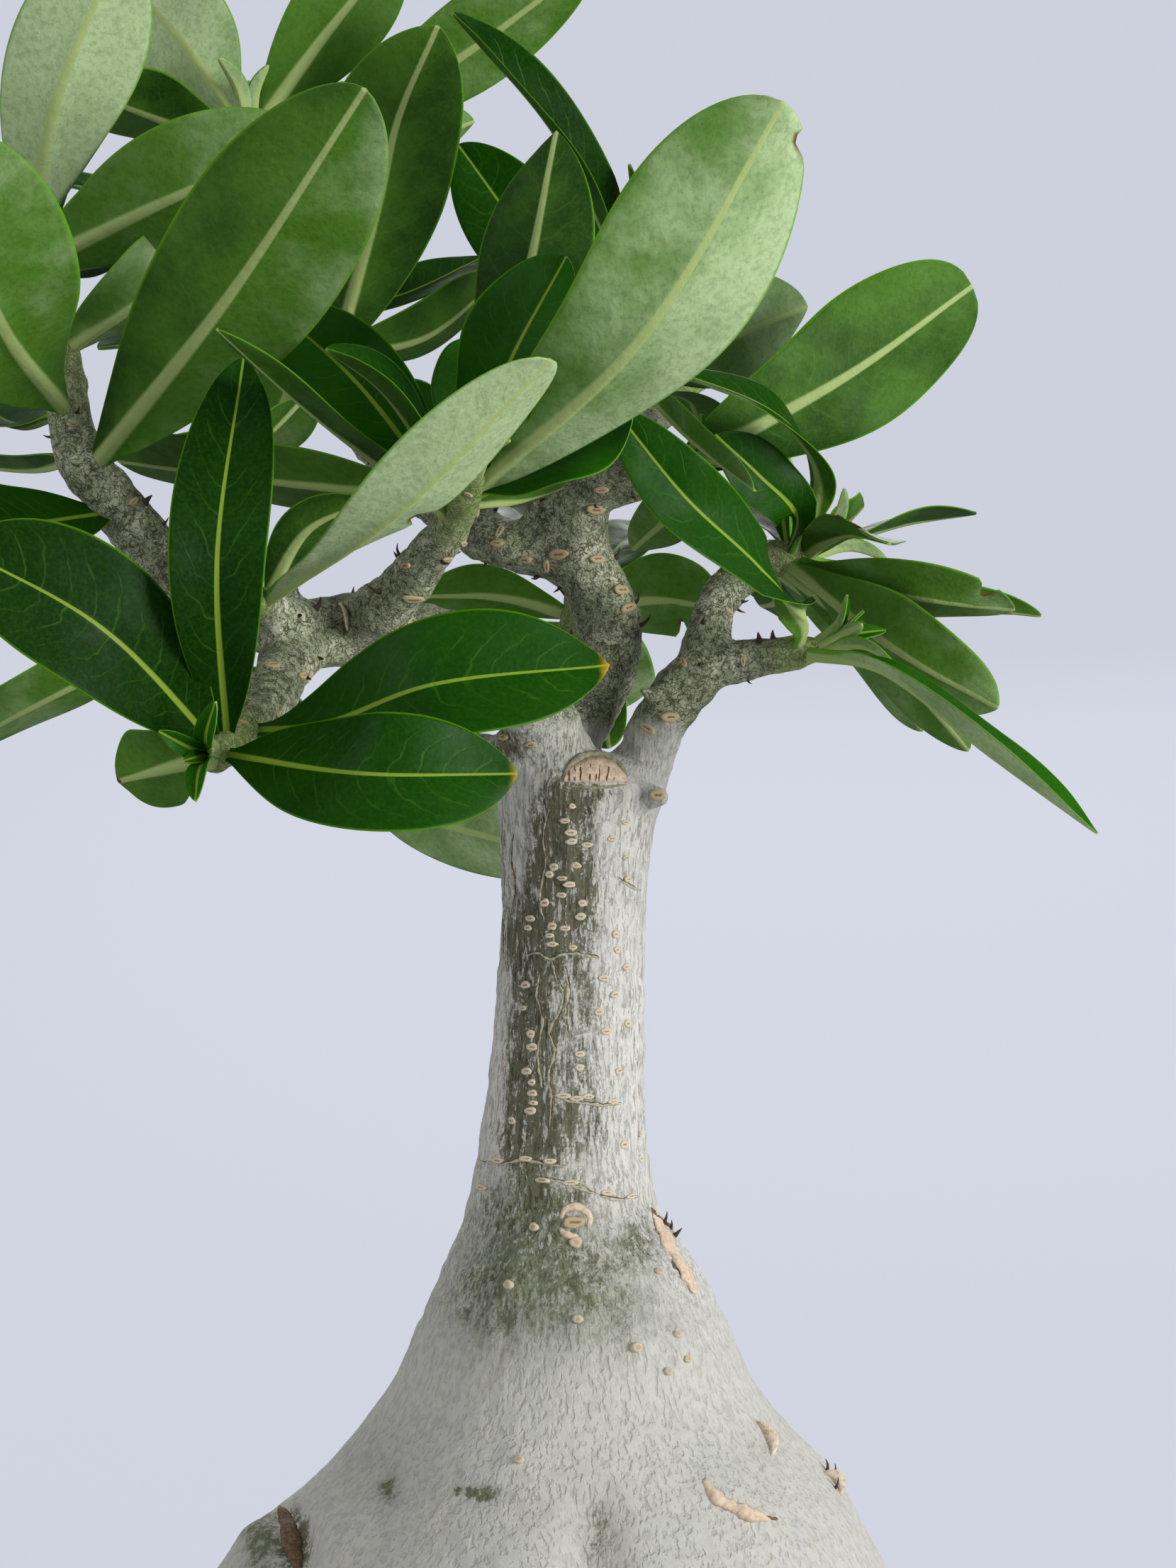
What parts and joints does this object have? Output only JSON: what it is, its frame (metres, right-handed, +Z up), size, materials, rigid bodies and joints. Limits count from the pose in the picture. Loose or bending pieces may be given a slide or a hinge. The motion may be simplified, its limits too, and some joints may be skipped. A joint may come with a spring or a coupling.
{
  "type": "potted desert rose",
  "caption": "Potted desert rose plant with a swollen grey caudex, a smooth pale trunk, knobbly branches and leafy shoots, in a plain round pot.",
  "frame": {"origin": "centre of the pot's flat underside, which rests on the surface", "axes": "+Z up along the trunk, +Y away from the viewer of the picture, +X to the viewer's right"},
  "size_m": [0.3673, 0.3709, 0.6728],
  "materials": {
    "stoneware": "matte",
    "potting_mix": "matte",
    "bark": "matte",
    "leaf": "satin"
  },
  "bodies": {
    "root": {"pot": "stoneware", "potting_mix": "potting_mix", "wood": "bark", "shoot_left_low": "leaf", "shoot_left_inner": "leaf", "shoot_front_left": "leaf", "shoot_upper_left": "leaf", "shoot_high_left": "leaf", "shoot_rear_left": "leaf", "shoot_centre": "leaf", "shoot_centre_stub": "leaf", "shoot_right_high": "leaf", "shoot_right_low": "leaf", "shoot_back": "leaf", "shoot_back_left": "leaf", "shoot_back_right": "leaf"}
  },
  "joints": []
}
